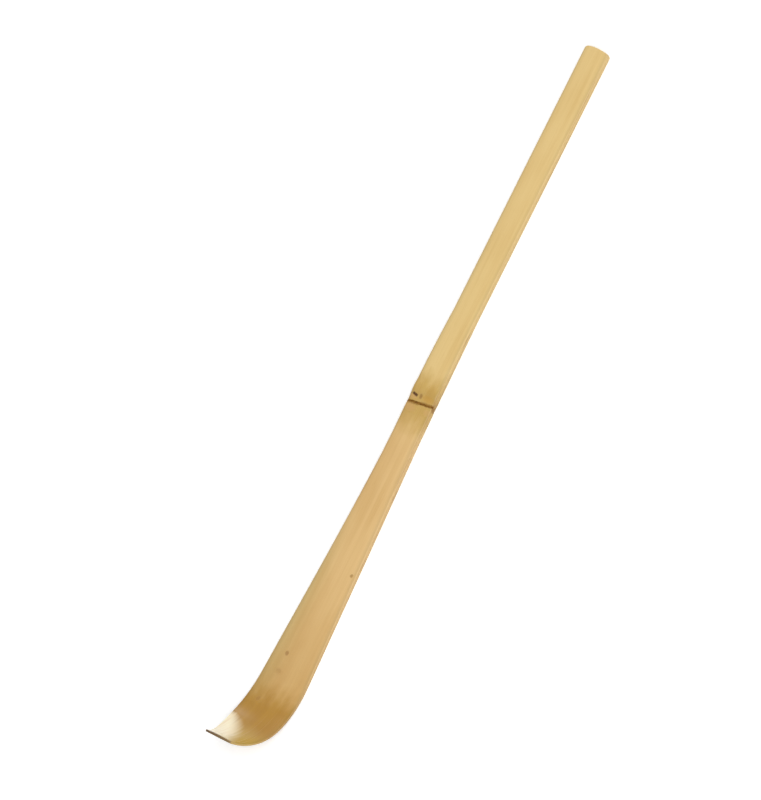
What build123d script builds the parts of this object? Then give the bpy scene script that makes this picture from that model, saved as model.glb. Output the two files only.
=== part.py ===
from build123d import *
import os
from math import cos, pi, radians, sin, sqrt

# Chashaku: a scoop for powdered tea, shaved from one slip of bamboo and bent up at its end.
# +X runs to the scoop, +Y across the slip, +Z out of the culm's skin, which is the upper face.
# The origin is on the flat back, under the scar that the leaf sheath left on the growth node.

# Along the slip, from the rounded end of the handle to the bend and its straight lip
handle_length = 91.1
blade_length = 70.5
bend_radius = 18.3
bend_angle = radians(85)
lip_length = 1.9

# The culm that the slip was split from: its skin keeps this roundness across the slip
culm_radius = 45.0

# Widths, from the handle to the tip
handle_width = 6.5
node_width = 7.05
scar_waist = 0.15
blade_width = 12.2
scoop_width = 12.5
tip_width = 7.6

# The middle line steps to one side at the node, as it grew, and leans back again along the blade
blade_sidestep = 0.5
tip_sidestep = 0.1
lean_start = 25.0
lean_end = 85.0

# Shape of the outline: where the blade starts to widen, where the scoop is widest, how it narrows
flare_start = 9.5
blade_flare_power = 1.14
widest_share = 0.3
narrowing_power = 1.4

# Thicknesses on the middle line, and edge roundings as shares of the thickness at the edge
handle_thickness = 2.0
node_thickness = 2.35
blade_thickness = 1.45
tip_thickness = 0.6
skin_edge_share = 0.25
back_edge_share = 0.4

# The growth node: a swelling, with a ridge across it on the handle side of the scar
node_reach = 20.0
ridge_offset = 3.2
ridge_height = 0.3
ridge_reach = 2.4
ring_handle_side = 6.2
ring_blade_side = 2.6

# The leaf sheath's scar: a wavy groove across the skin, with the sheath's dried foot in it
groove_width = 0.5
groove_depth = 0.42
scar_thickness = 0.24
scar_skew = 0.52
waist_reach = 1.5

# The scar's waviness: share of the half width across, share of scar_skew along the slip
scar_line_shares = ((-1.3, 1.35), (-0.5, 0.27), (0.5, -0.33), (1.3, -1.35))

# The end cuts: how far each is crowned, and its corners on the -Y and the +Y side
handle_end_crown = 0.55
handle_corners = (1.3, 1.5)
tip_end_crown = 0.08
tip_corners = (0.9, 0.9)
cutter_overrun = 2.0

# The back is shaved round first, then planed flat by this much up to where the bend begins
planing_depth = 0.08
planing_runout = 6.0

# Even steps between the cross-sections of each shaped stretch
swell_steps = 8
ring_steps = 16
blade_steps = 12
bend_steps = 28

bend_length = bend_radius * bend_angle + lip_length
slip_end = blade_length + bend_length
swell_start = -ridge_offset - node_reach


def eased(share):
    """A smooth step from 0 to 1."""
    return (1 - cos(pi * min(max(share, 0), 1))) / 2


def bump(place, centre, reach):
    """A smooth rise to 1 at the centre, gone at the reach on both sides."""
    return eased(1 - abs(place - centre) / reach)


def swelling(place):
    """The node's swelling on the handle side: steep at first, then level up to the ridge."""
    return sin(pi / 2 * max(1 - abs(place + ridge_offset) / node_reach, 0))


def centre_at(place):
    """Side step of the middle line, made over the length of the node and part undone later."""
    step = blade_sidestep * eased(((place - ridge_offset) / node_reach + 1) / 2)
    lean = (place - lean_start) / (lean_end - lean_start)
    return step - (blade_sidestep - tip_sidestep) * eased(lean)


def width_at(place):
    """Width of the slip at a place on its back line, counted from the scar."""
    waist = scar_waist * bump(place, 0, waist_reach)
    if place <= -ridge_offset:
        return handle_width + (node_width - handle_width) * swelling(place)
    if place <= 0:
        return node_width - waist
    if place <= blade_length:
        flare = (max(place - flare_start, 0) / (blade_length - flare_start)) ** blade_flare_power
        return node_width - waist + (blade_width - node_width) * flare
    share = (place - blade_length) / bend_length
    if share <= widest_share:
        return scoop_width - (scoop_width - blade_width) * (1 - share / widest_share) ** 2
    narrowing = ((share - widest_share) / (1 - widest_share)) ** narrowing_power
    return scoop_width - (scoop_width - tip_width) * eased(narrowing)


def thickness_at(place):
    """Thickness of the slip on its middle line, with the node's ridge."""
    ridge = ridge_height * bump(place, -ridge_offset, ridge_reach)
    if place <= -ridge_offset:
        return handle_thickness + (node_thickness - handle_thickness) * swelling(place) + ridge
    if place <= blade_length:
        share = (place + ridge_offset) / (blade_length + ridge_offset)
        return node_thickness + (blade_thickness - node_thickness) * share + ridge
    share = (place - blade_length) / bend_length
    return blade_thickness + (tip_thickness - blade_thickness) * eased(share)


def plane_at(place):
    """Plane square to the slip, on its back: its X is across, its Y is out of the skin."""
    turn = min(max(place - blade_length, 0) / bend_radius, bend_angle)
    lip = max(place - blade_length - bend_radius * bend_angle, 0)
    along = min(place, blade_length) + bend_radius * sin(turn) + lip * cos(turn)
    up = bend_radius * (1 - cos(turn)) + lip * sin(turn)
    tangent = (cos(turn), 0, sin(turn))
    return Plane(origin=(along, centre_at(place), up), x_dir=(0, 1, 0), z_dir=tangent)


def upright_plane(place):
    """Plane along the slip's middle, square to its skin: its X is across."""
    plane = plane_at(place)
    return Plane(origin=plane.origin, x_dir=plane.x_dir, z_dir=plane.y_dir)


def crown_drop(width):
    """How far the round skin drops from the middle line to the edge."""
    return culm_radius - sqrt(culm_radius**2 - (width / 2) ** 2)


def section_at(place):
    """The slip's cross-section before planing: flat back, round skin and eased edges."""
    half = width_at(place) / 2
    thickness = thickness_at(place)
    edge = thickness - crown_drop(2 * half)
    back = -planing_depth * eased((blade_length - place) / planing_runout)
    outline = [
        Line((-half, edge), (-half, back)),
        Line((-half, back), (half, back)),
        Line((half, back), (half, edge)),
        ThreePointArc((half, edge), (0, thickness), (-half, edge)),
    ]
    face = make_face(outline)
    face = fillet(face.vertices().sort_by(Axis.Y)[:2], back_edge_share * edge)
    face = fillet(face.vertices().sort_by(Axis.Y)[-2:], skin_edge_share * edge)
    return plane_at(place) * face


def shaped(start, end, steps):
    """A stretch of the slip, shaved from one evenly spaced cross-section to the next."""
    places = [start + (end - start) * step / steps for step in range(steps + 1)]
    return loft([section_at(place) for place in places], ruled=True)


def planed(solid):
    """The same stretch with its back planed flat."""
    return split(solid, bisect_by=Plane.XY, keep=Keep.TOP)


def end_waste(width, crown, corners, inward, height):
    """Waste beyond an end cut on local Y = 0: the end is crowned and its corners are rounded."""
    half = width / 2
    depth = inward * (crown + max(corners))
    shoulder = inward * crown
    outline = [
        Line((-half, depth), (-half, shoulder)),
        ThreePointArc((-half, shoulder), (0, 0), (half, shoulder)),
        Line((half, shoulder), (half, depth)),
        Line((half, depth), (-half, depth)),
    ]
    kept = make_face(outline)
    for side, radius in zip((-1, 1), corners):
        on_side = kept.vertices().sort_by(lambda corner: side * corner.X)[-2:]
        kept = fillet(on_side.sort_by(lambda corner: abs(corner.Y))[0], radius)
    outer = half + cutter_overrun
    beyond = -inward * cutter_overrun
    blank = make_face(Polyline((-outer, depth), (outer, depth), (outer, beyond), (-outer, beyond), close=True))
    return extrude(blank - kept, height, both=True)


def make_handle():
    """The even upper stretch and its swelling towards the node, with a crowned end cut."""
    even = extrude(section_at(-handle_length), handle_length + swell_start, dir=(1, 0, 0))
    handle = planed(even + shaped(swell_start, -ring_handle_side, swell_steps))
    waste = end_waste(handle_width, handle_end_crown, handle_corners, -1, 2 * handle_thickness)
    return handle - upright_plane(-handle_length) * waste


def make_scar_band(height):
    """The scar's wavy band across the slip, from the groove's floor up."""
    floor = thickness_at(0) - groove_depth
    middle = [(scar_skew * along, node_width / 2 * across) for across, along in scar_line_shares]
    near = [(x - groove_width / 2, y) for x, y in middle]
    far = [(x + groove_width / 2, y) for x, y in reversed(middle)]
    band = make_face(Polyline(*near, *far, close=True))
    return Pos(0, 0, floor) * extrude(band, height)


def make_scoop_tip():
    """The bent end, narrowed to its square cut edge, with the edge's corners rounded."""
    tip = shaped(blade_length, slip_end, bend_steps)
    waste = end_waste(tip_width, tip_end_crown, tip_corners, 1, 2 * tip_thickness)
    return tip - upright_plane(slip_end) * waste


whole_ring = planed(shaped(-ring_handle_side, ring_blade_side, ring_steps))

nodes = {
    "handle": make_handle(),
    "node_ring": whole_ring - make_scar_band(2 * groove_depth),
    "sheath_scar": make_scar_band(scar_thickness) & whole_ring,
    "blade": planed(shaped(ring_blade_side, blade_length, blade_steps)),
    "scoop_tip": make_scoop_tip(),
}

os.makedirs("parts", exist_ok=True)
for name, solid in nodes.items():
    export_step(solid, f"parts/{name}.step")
    size = solid.bounding_box()
    print(name, "solids", len(solid.solids()), "volume", round(solid.volume, 2), size.min, size.max)
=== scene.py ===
import bmesh
import bpy
import math
from mathutils import Matrix, Vector


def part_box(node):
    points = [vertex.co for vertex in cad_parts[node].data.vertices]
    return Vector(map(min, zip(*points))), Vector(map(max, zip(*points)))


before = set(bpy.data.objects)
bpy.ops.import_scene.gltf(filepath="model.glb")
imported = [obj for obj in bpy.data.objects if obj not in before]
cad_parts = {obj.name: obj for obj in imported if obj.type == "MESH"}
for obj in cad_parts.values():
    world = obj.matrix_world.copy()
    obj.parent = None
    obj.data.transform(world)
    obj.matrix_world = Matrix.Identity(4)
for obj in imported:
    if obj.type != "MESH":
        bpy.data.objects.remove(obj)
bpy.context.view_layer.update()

# The handle
# The upper stretch of the culm, shaved to one width, with its skin left on the upper face.
# The skin is hard and waxy with fine lengthwise fibres; the shaved sides and back are open flesh.

MM = 0.001
bend_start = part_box("scoop_tip")[0].x / MM
bend_radius = 18.3

# The slip's middle line steps to one side at the node and leans part of the way back: mm from the scar
step_aside = 0.5
step_span = (-16.8, 23.2)
lean_back = 0.4
lean_span = (25, 85)

# Its half width is even on the handle, swells at the node, flares on the blade and narrows to the tip
handle_half_width = 3.25
node_swell = 0.275
node_swell_span = (-23, -6)
blade_flare = 2.575
flare_power = 1.14
flare_start = 9.5
flare_end = 74
tip_narrowing = 2.48
narrowing_span = (82, 100.5)

handle_skin = (0.795, 0.572, 0.236, 1)
node_skin = (0.560, 0.350, 0.072, 1)
blade_skin = (0.772, 0.515, 0.219, 1)
heated_skin = (0.418, 0.213, 0.014, 1)
lip_skin = (0.578, 0.392, 0.088, 1)
open_flesh = (0.820, 0.670, 0.400, 1)
dark_fibre = (0.330, 0.175, 0.055, 1)

# Tints that darken a colour: in the skin's fibres, along its edge (wear and painted shade), in the flesh,
# on the left (painted shade)
fibre_tint = (0.80, 0.70, 0.50, 1)
edge_wear_and_shade_tint = (0.66, 0.70, 0.72, 1)
flesh_tint = (0.87, 0.83, 0.75, 1)
left_shade_tint = (0.86, 0.93, 0.88, 1)

# Where the skin's colour changes along the slip, in mm from the scar, and how far it does
blade_colour_span = (-4, 12)
node_colour_start = (-9, -3)
node_colour_end = (1.5, 9)
node_colour_share = 0.8
# Painted shade: the blade's left side is darker, as where it leans away from the light
left_shade_span = (20, 50)
left_shade_share = 0.8
warmed_span = (40, 86)
warmed_share = 0.45
browned_span = (bend_start, bend_start + 9)
browned_share = 0.55
lip_colour_span = (84, 93)
lip_colour_share = 0.9

# How squarely a face looks out of the skin, or along the slip, to show as skin or as end grain
skinward_span = (0.86, 0.985)
endwise_span = (0.55, 0.85)


def new_group(name, inputs, outputs):
    """An empty shader group. Sockets: name -> default for an input, name -> kind for an output."""
    group = bpy.data.node_groups.new(name, "ShaderNodeTree")
    for label, value in inputs.items():
        kind = "NodeSocketColor" if isinstance(value, tuple) else "NodeSocketFloat"
        group.interface.new_socket(label, in_out="INPUT", socket_type=kind).default_value = value
    for label, kind in outputs.items():
        group.interface.new_socket(label, in_out="OUTPUT", socket_type=kind)
    given = group.nodes.new("NodeGroupInput").outputs
    out = group.nodes.new("NodeGroupOutput").inputs
    return group, given, out


def plug(tree, socket, value):
    """Links a socket to another node's output, or sets it to a value."""
    if isinstance(value, bpy.types.NodeSocket):
        tree.links.new(value, socket)
    elif value is not None:
        socket.default_value = value


def calc(tree, operation, *values):
    """One Math node; returns its output."""
    node = tree.nodes.new("ShaderNodeMath")
    node.operation = operation
    for socket, value in zip(node.inputs, values):
        plug(tree, socket, value)
    return node.outputs[0]


def scaled(tree, value, factor, added=0.0):
    """A value times a factor, with something added."""
    return calc(tree, "MULTIPLY_ADD", value, factor, added)


def rise(tree, value, low, high, top=1.0):
    """A smooth rise with a value: 0 below low, top above high."""
    node = tree.nodes.new("ShaderNodeMapRange")
    node.interpolation_type = "SMOOTHSTEP"
    for label, given in (("Value", value), ("From Min", low), ("From Max", high), ("To Max", top)):
        plug(tree, node.inputs[label], given)
    return node.outputs["Result"]


def fall(tree, value, low, high, top=1.0):
    """A smooth fall with a value: top below low, 0 above high."""
    return rise(tree, value, high, low, top)


def grain(tree, place, along, across, depth, detail):
    """A noise from 0 to 1 over the unrolled slip, scaled each way; each depth is another layer of it."""
    vector = tree.nodes.new("ShaderNodeCombineXYZ")
    plug(tree, vector.inputs["X"], scaled(tree, place["Along"], along))
    plug(tree, vector.inputs["Y"], scaled(tree, place["Across"], across))
    plug(tree, vector.inputs["Z"], depth)
    node = tree.nodes.new("ShaderNodeTexNoise")
    plug(tree, node.inputs["Vector"], vector.outputs[0])
    node.inputs["Scale"].default_value = 1
    node.inputs["Detail"].default_value = detail
    return node.outputs["Fac"]


def wavering(tree, value, noise, reach):
    """A value made ragged by a noise, by up to half the reach each way."""
    return calc(tree, "MULTIPLY_ADD", calc(tree, "SUBTRACT", noise, 0.5), reach, value)


def lay_over(tree, share, under, over, kind="MIX"):
    """One colour with another laid over it by a share; the kind MULTIPLY tints instead."""
    node = tree.nodes.new("ShaderNodeMix")
    node.data_type = "RGBA"
    node.blend_type = kind
    plug(tree, node.inputs[0], share)
    plug(tree, node.inputs[6], under)
    plug(tree, node.inputs[7], over)
    return node.outputs[2]


def use_group(tree, group, **values):
    """Places a group in a tree, sets or links its inputs, and returns its outputs."""
    node = tree.nodes.new("ShaderNodeGroup")
    node.node_tree = group
    for label, value in values.items():
        plug(tree, node.inputs[label.replace("_", " ")], value)
    return node.outputs


def make_even_shading():
    """Joins the CAD triangles at their edges and shades them as one surface, sharp edges kept."""
    closest = 0.002 * MM
    sharpest = math.radians(30)
    group = bpy.data.node_groups.new("even_shading", "GeometryNodeTree")
    group.interface.new_socket("Mesh", in_out="INPUT", socket_type="NodeSocketGeometry")
    group.interface.new_socket("Mesh", in_out="OUTPUT", socket_type="NodeSocketGeometry")
    joined = group.nodes.new("GeometryNodeMergeByDistance")
    joined.inputs["Distance"].default_value = closest
    plug(group, joined.inputs["Geometry"], group.nodes.new("NodeGroupInput").outputs[0])
    angle = group.nodes.new("GeometryNodeInputMeshEdgeAngle").outputs["Unsigned Angle"]
    shaded = group.nodes.new("GeometryNodeSetMeshNormal")
    shaded.mode = "SHARPNESS"
    plug(group, shaded.inputs["Mesh"], joined.outputs["Geometry"])
    plug(group, shaded.inputs["Edge Sharpness"], calc(group, "GREATER_THAN", angle, sharpest))
    plug(group, group.nodes.new("NodeGroupOutput").inputs[0], shaded.outputs["Mesh"])
    return group


def make_slip_place():
    """Where a point lies on the slip, in mm, with the bend unrolled, and which way it faces."""
    labels = ("Along", "Across", "Height", "Inset", "Facing", "Endwise")
    group, _, out = new_group("slip_place", {}, dict.fromkeys(labels, "NodeSocketFloat"))
    coords = group.nodes.new("ShaderNodeTexCoord")
    point = group.nodes.new("ShaderNodeSeparateXYZ")
    plug(group, point.inputs[0], coords.outputs["Object"])
    normal = group.nodes.new("ShaderNodeSeparateXYZ")
    plug(group, normal.inputs[0], coords.outputs["Normal"])

    x, y, z = [calc(group, "DIVIDE", part, MM) for part in point.outputs]
    past_start = calc(group, "MAXIMUM", calc(group, "SUBTRACT", x, bend_start), 0)
    below_centre = calc(group, "SUBTRACT", bend_radius, z)
    squares = [calc(group, "POWER", part, 2) for part in (past_start, below_centre)]
    from_centre = calc(group, "SQRT", calc(group, "ADD", *squares))
    turn = calc(group, "ARCTAN2", past_start, below_centre)
    along = scaled(group, turn, bend_radius, calc(group, "MINIMUM", x, bend_start))
    plug(group, out["Along"], along)
    plug(group, out["Height"], calc(group, "SUBTRACT", bend_radius, from_centre))

    stepped = rise(group, along, *step_span, step_aside)
    middle = calc(group, "SUBTRACT", stepped, rise(group, along, *lean_span, lean_back))
    across = calc(group, "SUBTRACT", y, middle)
    plug(group, out["Across"], across)

    into_flare = calc(group, "SUBTRACT", calc(group, "MINIMUM", along, flare_end), flare_start)
    flare = calc(group, "MAXIMUM", calc(group, "DIVIDE", into_flare, bend_start - flare_start), 0)
    half_width = calc(group, "ADD", rise(group, along, *node_swell_span, node_swell), handle_half_width)
    half_width = scaled(group, calc(group, "POWER", flare, flare_power), blade_flare, half_width)
    half_width = calc(group, "SUBTRACT", half_width, rise(group, along, *narrowing_span, tip_narrowing))
    plug(group, out["Inset"], calc(group, "SUBTRACT", half_width, calc(group, "ABSOLUTE", across)))

    sine, cosine = calc(group, "SINE", turn), calc(group, "COSINE", turn)
    skinward = calc(group, "MULTIPLY", normal.outputs["Z"], cosine)
    leaning_back = calc(group, "MULTIPLY", normal.outputs["X"], sine)
    plug(group, out["Facing"], calc(group, "SUBTRACT", skinward, leaning_back))
    forward = calc(group, "MULTIPLY", normal.outputs["X"], cosine)
    rising = calc(group, "MULTIPLY", normal.outputs["Z"], sine)
    plug(group, out["Endwise"], calc(group, "ABSOLUTE", calc(group, "ADD", forward, rising)))
    return group


def make_culm_tone():
    """The skin's colour along the slip: handle, darker node, blade with painted shade on its left side,
    browned bend and lighter lip.
    """
    group, given, out = new_group(
        "culm_tone",
        {"Along": 0.0, "Across": 0.0, "Handle": handle_skin, "Node": node_skin, "Blade": blade_skin,
         "Heated": heated_skin, "Lip": lip_skin},
        {"Colour": "NodeSocketColor"},
    )
    along = given["Along"]
    patches = grain(group, given, along=0.25, across=0.5, depth=3.0, detail=2)
    ragged_along = wavering(group, along, patches, 6.0)
    tone = lay_over(group, rise(group, along, *blade_colour_span), given["Handle"], given["Blade"])
    after_start = rise(group, ragged_along, *node_colour_start)
    before_end = fall(group, ragged_along, *node_colour_end, node_colour_share)
    tone = lay_over(group, calc(group, "MULTIPLY", after_start, before_end), tone, given["Node"])
    # Painted shade on the blade's left side, as where it leans away from the light
    leftward = rise(group, scaled(group, given["Across"], -1), 0.5, 5)
    left_shade = calc(group, "MULTIPLY", leftward, rise(group, along, *left_shade_span, left_shade_share))
    tone = lay_over(group, left_shade, tone, left_shade_tint, "MULTIPLY")
    warmed = rise(group, ragged_along, *warmed_span, warmed_share)
    heat = calc(group, "ADD", warmed, rise(group, ragged_along, *browned_span, browned_share))
    tone = lay_over(group, heat, tone, given["Heated"])
    lip = rise(group, along, *lip_colour_span, lip_colour_share)
    plug(group, out["Colour"], lay_over(group, lip, tone, given["Lip"]))
    return group


def make_fleck():
    """One natural brown fleck: an uneven oval at a place on the slip, as a share."""
    group, given, out = new_group(
        "fleck",
        {"Along": 0.0, "Across": 0.0, "At along": 0.0, "At across": 0.0, "Half length": 0.5,
         "Half width": 0.5},
        {"Share": "NodeSocketFloat"},
    )
    squares = []
    for way, half_size in (("Along", "Half length"), ("Across", "Half width")):
        off = calc(group, "SUBTRACT", given[way], given[f"At {way.lower()}"])
        squares.append(calc(group, "POWER", calc(group, "DIVIDE", off, given[half_size]), 2))
    from_middle = calc(group, "SQRT", calc(group, "ADD", *squares))
    unevenness = grain(group, given, along=1.6, across=3.5, depth=0, detail=3)
    from_middle = scaled(group, unevenness, 0.9, from_middle)
    plug(group, out["Share"], fall(group, from_middle, 0.9, 1.65))
    return group


def make_shaved_bamboo():
    """Shaved bamboo: waxy fibrous skin on top, open flesh with dark bundles at the sides and back."""
    group, given, out = new_group(
        "shaved_bamboo",
        {"Skin": handle_skin, "Along": 0.0, "Across": 0.0, "Height": 0.0, "Inset": 1.0, "Facing": 1.0,
         "Endwise": 0.0},
        {"Colour": "NodeSocketColor", "Roughness": "NodeSocketFloat", "Relief": "NodeSocketFloat"},
    )
    height = given["Height"]

    # The skin: broad streaks and clouds, fine fibres and short pores, and a darker edge, partly wear and
    # partly painted shade
    streaks = grain(group, given, along=0.02, across=0.8, depth=scaled(group, height, 0.2), detail=3)
    fibres = grain(group, given, along=0.06, across=5.0, depth=scaled(group, height, 0.6), detail=2)
    pores = grain(group, given, along=0.45, across=6.0, depth=scaled(group, height, 0.6), detail=1)
    clouds = grain(group, given, along=0.06, across=0.16, depth=scaled(group, height, 0.05), detail=2)
    deeper = rise(group, streaks, 0.35, 0.72, 0.26)
    deeper = calc(group, "ADD", deeper, rise(group, clouds, 0.38, 0.72, 0.22))
    deeper = calc(group, "ADD", deeper, rise(group, fibres, 0.40, 0.75, 0.16))
    deeper = calc(group, "ADD", deeper, rise(group, pores, 0.66, 0.80, 0.22))
    skin = lay_over(group, deeper, given["Skin"], fibre_tint, "MULTIPLY")
    # The darker edge is partly wear and partly painted shade where the rounded edge turns away from the
    # light
    edge_wear_and_shade = fall(group, wavering(group, given["Inset"], streaks, 0.8), 0.15, 1.25, 0.40)
    skin = lay_over(group, edge_wear_and_shade, skin, edge_wear_and_shade_tint, "MULTIPLY")

    # The flesh: dark bundles, closer together towards the skin, and the trace of the trimmed knot
    bundles = grain(group, given, along=0.03, across=3.2, depth=scaled(group, height, 2.2), detail=2)
    threshold = scaled(group, rise(group, height, 0.4, 2.2), -0.07, 0.60)
    lines = rise(group, bundles, threshold, calc(group, "ADD", threshold, 0.06), 0.4)
    plain_flesh = lay_over(group, 0.2, given["Skin"], open_flesh)
    plain_flesh = lay_over(group, 1.0, plain_flesh, flesh_tint, "MULTIPLY")
    flesh = lay_over(group, lines, plain_flesh, dark_fibre)
    knots = grain(group, given, along=0.9, across=0.8, depth=scaled(group, height, 0.8), detail=3)
    knot_wave = scaled(group, knots, 2.0, -0.2)
    from_knot = calc(group, "ABSOLUTE", calc(group, "ADD", given["Along"], knot_wave))
    flesh = lay_over(group, fall(group, from_knot, 0.2, 1.9, 0.45), flesh, dark_fibre)

    # The end grain: the same bundles end on, in rows that crowd towards the skin
    bundle_ends = group.nodes.new("ShaderNodeTexVoronoi")
    bundle_ends.voronoi_dimensions = "2D"
    bundle_ends.inputs["Scale"].default_value = 1
    bundle_ends.inputs["Randomness"].default_value = 0.75
    vector = group.nodes.new("ShaderNodeCombineXYZ")
    crowded = calc(group, "POWER", calc(group, "MAXIMUM", height, 0), 1.5)
    plug(group, vector.inputs["X"], scaled(group, given["Across"], 3.2))
    plug(group, vector.inputs["Y"], scaled(group, crowded, 2.2))
    plug(group, bundle_ends.inputs["Vector"], vector.outputs[0])
    dots = fall(group, bundle_ends.outputs["Distance"], 0.15, 0.33, 0.65)
    end_grain = lay_over(group, dots, plain_flesh, dark_fibre)

    on_skin = rise(group, given["Facing"], *skinward_span)
    on_end = rise(group, given["Endwise"], *endwise_span)
    colour = lay_over(group, on_end, lay_over(group, on_skin, flesh, skin), end_grain)
    plug(group, out["Colour"], colour)
    plug(group, out["Roughness"], scaled(group, fibres, 0.08, scaled(group, on_skin, -0.30, 0.52)))
    relief = calc(group, "ADD", scaled(group, fibres, 0.6), scaled(group, lines, 0.8))
    plug(group, out["Relief"], calc(group, "MULTIPLY", relief, scaled(group, on_skin, -0.7, 1.0)))
    return group


even_shading = make_even_shading()
slip_place = make_slip_place()
culm_tone = make_culm_tone()
fleck = make_fleck()
shaved_bamboo = make_shaved_bamboo()


def new_material(name):
    """An empty material with a Principled shader: the material, its tree and the shader."""
    material = bpy.data.materials.new(name)
    material.use_nodes = True
    return material, material.node_tree, material.node_tree.nodes["Principled BSDF"]


def bamboo_material(name, node_name):
    """Gives one stretch of the slip its bamboo finish: the tree, the shader, the place and the colour."""
    relief_share = 0.5
    relief_depth = 0.03 * MM
    material, tree, shader = new_material(name)
    place = use_group(tree, slip_place)
    tone = use_group(tree, culm_tone, Along=place["Along"], Across=place["Across"])["Colour"]
    bamboo = use_group(tree, shaved_bamboo, Skin=tone, Along=place["Along"], Across=place["Across"],
                       Height=place["Height"], Inset=place["Inset"], Facing=place["Facing"],
                       Endwise=place["Endwise"])
    bump = tree.nodes.new("ShaderNodeBump")
    bump.inputs["Strength"].default_value = relief_share
    bump.inputs["Distance"].default_value = relief_depth
    plug(tree, bump.inputs["Height"], bamboo["Relief"])
    plug(tree, shader.inputs["Base Color"], bamboo["Colour"])
    plug(tree, shader.inputs["Roughness"], bamboo["Roughness"])
    plug(tree, shader.inputs["Normal"], bump.outputs["Normal"])
    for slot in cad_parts[node_name].material_slots:
        slot.material = material
    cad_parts[node_name].modifiers.new("even_shading", "NODES").node_group = even_shading
    return tree, shader, place, bamboo["Colour"]


def add_flecks(tree, shader, place, colour, flecks):
    """Lays dull flecks over the skin: (along, across, half length, half width, share, fleck colour)."""
    fleck_dullness = 0.35
    dullest = 0.85
    rough = shader.inputs["Roughness"].links[0].from_socket
    not_behind = rise(tree, place["Facing"], -0.4, 0.1)
    for along, across, half_length, half_width, share, fleck_colour in flecks:
        spot = use_group(tree, fleck, Along=place["Along"], Across=place["Across"], At_along=along,
                         At_across=across, Half_length=half_length, Half_width=half_width)["Share"]
        spot = calc(tree, "MULTIPLY", scaled(tree, spot, share), not_behind)
        colour = lay_over(tree, spot, colour, fleck_colour)
        rough = scaled(tree, spot, fleck_dullness, rough)
    plug(tree, shader.inputs["Base Color"], colour)
    plug(tree, shader.inputs["Roughness"], calc(tree, "MINIMUM", rough, dullest))


bamboo_material("handle_bamboo", "handle")

# The node ring
# The culm's growth node, a little wider and thicker, with a low ridge across it.
# The dark spots on it are root buds that never grew, shaved level with the skin.

bud_colour = (0.085, 0.028, 0.000, 1)
faint_bud_colour = (0.230, 0.100, 0.020, 1)
scar_stain = (0.300, 0.140, 0.015, 1)
stained_skin = (0.420, 0.230, 0.030, 1)
reddened_skin = (0.560, 0.290, 0.040, 1)
pinkish_skin = (0.640, 0.370, 0.150, 1)

# The sheath's scar crosses the slip at a slant, steeper near the middle; its stain fades in mm beside it
scar_slant = 0.109
steeper_slant = 0.137
steeper_reach = 1.05
stain_fade = (0.25, 0.6)
stain_share = 0.8

tree, shader, place, colour = bamboo_material("node_bamboo", "node_ring")
near_middle = calc(tree, "MINIMUM", place["Across"], steeper_reach)
near_middle = calc(tree, "MAXIMUM", near_middle, -steeper_reach)
slanted = scaled(tree, place["Across"], scar_slant, scaled(tree, near_middle, steeper_slant))
from_scar = calc(tree, "ABSOLUTE", calc(tree, "ADD", place["Along"], slanted))
stain_waves = grain(tree, place, along=1.5, across=2.5, depth=9, detail=3)
from_scar = wavering(tree, from_scar, stain_waves, 0.5)
stained = fall(tree, from_scar, *stain_fade, stain_share)
stained = calc(tree, "MULTIPLY", stained, rise(tree, place["Facing"], -0.3, 0.9))
colour = lay_over(tree, stained, colour, scar_stain)
add_flecks(tree, shader, place, colour, [
    (-3.00, 1.65, 2.10, 1.50, 0.30, stained_skin),
    (-1.60, 1.60, 0.90, 2.00, 0.45, reddened_skin),
    (-0.95, -2.40, 0.50, 1.10, 0.50, pinkish_skin),
    (1.60, -2.20, 1.00, 2.00, 0.45, pinkish_skin),
    (1.30, 2.60, 0.80, 0.90, 0.35, pinkish_skin),
    (-1.66, -2.40, 0.38, 0.52, 1.00, bud_colour),
    (-1.50, -1.78, 0.42, 0.55, 1.00, bud_colour),
    (-1.65, -0.50, 0.75, 0.50, 0.60, faint_bud_colour),
    (0.10, 3.60, 0.75, 0.35, 0.70, faint_bud_colour),
])

# The sheath scar
# The dried brown foot of the leaf sheath that wrapped the culm, left in its groove across the node.
# It is papery and dull, and was shaved off level with the sides of the slip.

dark_sheath = (0.170, 0.072, 0.008, 1)
light_sheath = (0.330, 0.160, 0.025, 1)

sheath_material, tree, shader = new_material("sheath")
papery = grain(tree, use_group(tree, slip_place), along=3.0, across=1.4, depth=0, detail=3)
sheath_colour = lay_over(tree, rise(tree, papery, 0.35, 0.65), dark_sheath, light_sheath)
plug(tree, shader.inputs["Base Color"], sheath_colour)
shader.inputs["Roughness"].default_value = 0.75
shader.inputs["Specular IOR Level"].default_value = 0.2
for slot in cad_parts["sheath_scar"].material_slots:
    slot.material = sheath_material

# The blade
# The stretch of culm below the node, shaved thinner and wider towards the scoop.
# It carries a few small brown flecks, which are the plant's own.

brown_fleck = (0.230, 0.085, 0.010, 1)
golden_fleck = (0.290, 0.135, 0.008, 1)

tree, shader, place, colour = bamboo_material("blade_bamboo", "blade")
add_flecks(tree, shader, place, colour, [
    (42.35, 3.58, 0.55, 0.45, 0.65, golden_fleck),
    (64.80, -2.20, 0.75, 0.55, 0.50, brown_fleck),
    (69.30, -2.10, 0.80, 0.90, 0.20, brown_fleck),
])

# The scoop tip
# The end that was steamed, bent up and browned by the heat, narrowed to a square cut edge.
# The cut edge is dark, most on the left, with a darker rim beside it. The pale, streaked patch on the
# lip's left side is a painted highlight.

dark_end_colour = (0.105, 0.055, 0.022, 1)
dark_rim_colour = (0.210, 0.095, 0.012, 1)
painted_highlight_colour = (1.000, 0.905, 0.655, 1)
streaked_highlight_colour = (0.920, 0.760, 0.490, 1)

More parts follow.
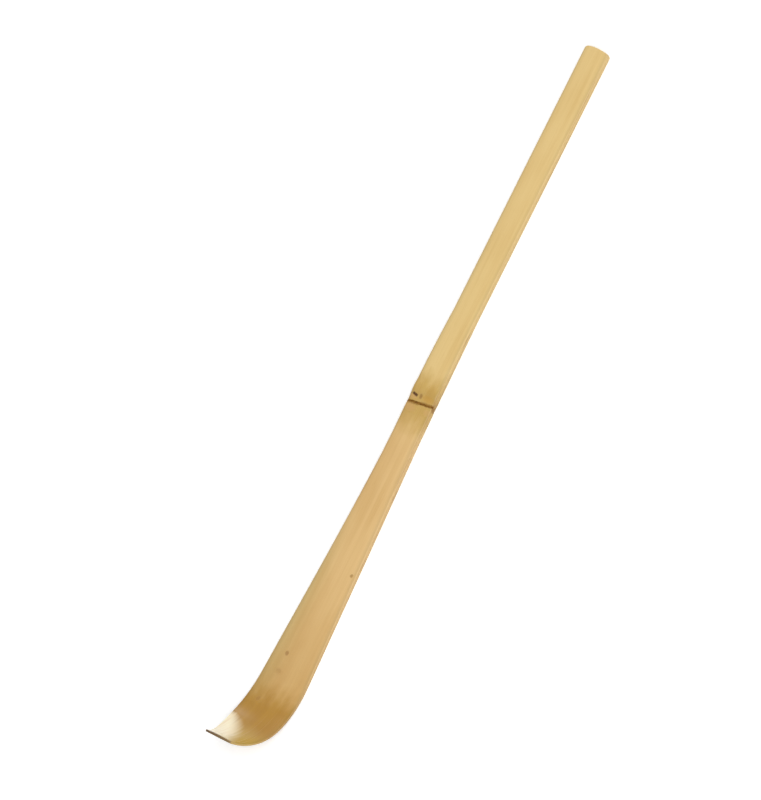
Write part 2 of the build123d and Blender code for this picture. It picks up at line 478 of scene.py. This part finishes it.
# The painted highlight ends at a bowed line, in mm: it comes in from the left edge and runs on to the lip
highlight_start = 83.6
highlight_left = -7.6
highlight_bow = 3.6
highlight_power = 0.4
highlight_fade = (-1.5, 3.1)

# The painted highlight shows fully at a low angle and only in part face on
highlight_face_on = 0.42
highlight_rise = (0.08, 0.42)

# The cut edge and a rim beside it on the inner side are darker, most on the left
rim_span = (97.4, 99.6)
rim_share = 0.85
dark_end_left = 0.94
dark_end_less_right = 0.22
dark_end_span = (-4, 4)

tree, shader, place, colour = bamboo_material("bent_bamboo", "scoop_tip")
streaks = grain(tree, place, along=0.04, across=2.2, depth=5, detail=3)
on_inner_side = rise(tree, place["Facing"], 0.3, 0.8)

# Painted highlight: a pale, streaked patch on the inner side of the lip, strongest at a low angle
past_start = calc(tree, "MAXIMUM", calc(tree, "SUBTRACT", place["Along"], highlight_start), 0)
highlight_end = scaled(tree, calc(tree, "POWER", past_start, highlight_power), highlight_bow, highlight_left)
inside_highlight = wavering(tree, calc(tree, "SUBTRACT", highlight_end, place["Across"]), streaks, 3.0)
painted_highlight = calc(tree, "MULTIPLY", rise(tree, inside_highlight, *highlight_fade), on_inner_side)
low_angle = tree.nodes.new("ShaderNodeLayerWeight").outputs["Facing"]
highlight_by_angle = calc(tree, "ADD", rise(tree, low_angle, *highlight_rise, 1 - highlight_face_on), highlight_face_on)
fibrous_highlight = lay_over(tree, rise(tree, streaks, 0.35, 0.75), painted_highlight_colour, streaked_highlight_colour)
colour = lay_over(tree, calc(tree, "MULTIPLY", painted_highlight, highlight_by_angle), colour, fibrous_highlight)

# A darker rim on the inner side beside the cut edge
rim = rise(tree, wavering(tree, place["Along"], streaks, 1.6), *rim_span, rim_share)
colour = lay_over(tree, calc(tree, "MULTIPLY", rim, on_inner_side), colour, dark_rim_colour)

# The cut edge is darker, most on the left
less_dark_end = rise(tree, place["Across"], *dark_end_span, dark_end_less_right)
dark_end = calc(tree, "SUBTRACT", dark_end_left, less_dark_end)
dark_end = calc(tree, "MULTIPLY", rise(tree, place["Endwise"], *endwise_span), dark_end)
colour = lay_over(tree, dark_end, colour, dark_end_colour)
add_flecks(tree, shader, place, colour, [
    (77.60, -3.00, 0.80, 0.60, 0.25, brown_fleck),
])

# The table top
# A plain white sheet that runs on past the view, so that the background is white.
# Seen from below it is clear, so that the slip's back shows.

table_half_size = 4.0
table_drop = 0.02 * MM
table_white = (0.9, 0.9, 0.9, 1)
lying_gap = 0.1 * MM

# What the table adds to its own brightness where it is seen: more away from the slip's shadow
glow_near = 0.35
glow_more_far = 0.4
glow_span = (0.12, 0.5)

sheet = bmesh.new()
bmesh.ops.create_grid(sheet, x_segments=1, y_segments=1, size=table_half_size)
bmesh.ops.translate(sheet, verts=sheet.verts, vec=(0, 0, -table_drop))
table_mesh = bpy.data.meshes.new("table_top")
sheet.to_mesh(table_mesh)
sheet.free()
table_top = bpy.data.objects.new("table_top", table_mesh)
bpy.context.scene.collection.objects.link(table_top)


def seen_directly(tree):
    """1 for rays that show the background itself: to the camera, in a reflection or through glass."""
    paths = tree.nodes.new("ShaderNodeLightPath").outputs
    seen = calc(tree, "MAXIMUM", paths["Is Camera Ray"], paths["Is Glossy Ray"])
    return calc(tree, "MAXIMUM", seen, paths["Is Transmission Ray"])


table_material, tree, shader = new_material("white_table")
shader.inputs["Base Color"].default_value = table_white
shader.inputs["Roughness"].default_value = 0.9
shader.inputs["Specular IOR Level"].default_value = 0.0
shader.inputs["Emission Color"].default_value = (1, 1, 1, 1)
distance = tree.nodes.new("ShaderNodeVectorMath")
distance.operation = "LENGTH"
plug(tree, distance.inputs[0], tree.nodes.new("ShaderNodeTexCoord").outputs["Object"])
glow = calc(tree, "ADD", rise(tree, distance.outputs["Value"], *glow_span, glow_more_far), glow_near)
plug(tree, shader.inputs["Emission Strength"], calc(tree, "MULTIPLY", seen_directly(tree), glow))

# It is clear from below, and for light on its way to the slip's back, which lies on it
clear = tree.nodes.new("ShaderNodeBsdfTransparent")
ray_length = tree.nodes.new("ShaderNodeLightPath").outputs["Ray Length"]
from_slip = calc(tree, "LESS_THAN", ray_length, lying_gap)
from_below = tree.nodes.new("ShaderNodeNewGeometry").outputs["Backfacing"]
sides = tree.nodes.new("ShaderNodeMixShader")
plug(tree, sides.inputs[0], calc(tree, "MAXIMUM", from_below, from_slip))
plug(tree, sides.inputs[1], shader.outputs[0])
plug(tree, sides.inputs[2], clear.outputs[0])
plug(tree, tree.nodes["Material Output"].inputs["Surface"], sides.outputs[0])
table_top.data.materials.append(table_material)

# The light
# A wide soft lamp over the maker's shoulder, a panel in front of the handle's end, and a low window
# that gives the bend its gloss. A pale surround lights the rest, and shows as white.

surround_level = 0.38

world = bpy.data.worlds.new("surround")
bpy.context.scene.world = world
world.use_nodes = True
surround = world.node_tree.nodes["Background"].inputs
surround["Color"].default_value = (1, 1, 1, 1)
brightness = calc(world.node_tree, "MAXIMUM", seen_directly(world.node_tree), surround_level)
plug(world.node_tree, surround["Strength"], brightness)


def soft_light(name, place, size, brightness):
    """A square soft light aimed at the slip; brightness 1 is as bright as white paper."""
    data = bpy.data.lights.new(name, "AREA")
    data.shape = "SQUARE"
    data.size = size
    data.energy = brightness * math.pi * size**2
    lamp = bpy.data.objects.new(name, data)
    bpy.context.scene.collection.objects.link(lamp)
    lamp.rotation_mode = "QUATERNION"
    lamp.rotation_quaternion = Vector(place).to_track_quat("Z", "Y")
    lamp.location = place


soft_light("shoulder_lamp", (0.05, 0.50, 0.85), 0.6, 5.3)
soft_light("front_panel", (-0.85, 0.15, 0.40), 0.9, 0.9)
soft_light("low_window", (-0.75, -0.62, 0.18), 0.20, 3.0)

# The camera
# It stands high over the slip's right-hand edge, turned so that the slip lies aslant in the view.
# The scar of the node is put at its own pixel, and a long lens keeps one scale along the slip.

picture_height = 800
picture_middle = (380.5, 400.0)
scar_pixel = (423.04, 405.32)
pixels_per_mm = 4.36
slip_direction = (-0.448, 0.894)
elevation = math.radians(64)
camera_distance = 5.0
sensor_width = 36.0

across_view = Vector((0, math.sin(elevation), -math.cos(elevation)))
back = Vector((0, math.cos(elevation), math.sin(elevation)))
right = Vector((slip_direction[0], 0, 0)) + slip_direction[1] * across_view
up = Vector((-slip_direction[1], 0, 0)) + slip_direction[0] * across_view
pixel = MM / pixels_per_mm
to_right = (picture_middle[0] - scar_pixel[0]) * pixel
to_top = (scar_pixel[1] - picture_middle[1]) * pixel
target = right * to_right + up * to_top

camera_data = bpy.data.cameras.new("camera")
camera_data.sensor_width = sensor_width
camera_data.lens = sensor_width * camera_distance / (picture_height * pixel)
camera = bpy.data.objects.new("camera", camera_data)
bpy.context.scene.collection.objects.link(camera)
turned = Matrix((right, up, back)).transposed().to_4x4()
camera.matrix_world = Matrix.Translation(target + back * camera_distance) @ turned
bpy.context.scene.camera = camera

bpy.context.scene.view_settings.view_transform = "Standard"
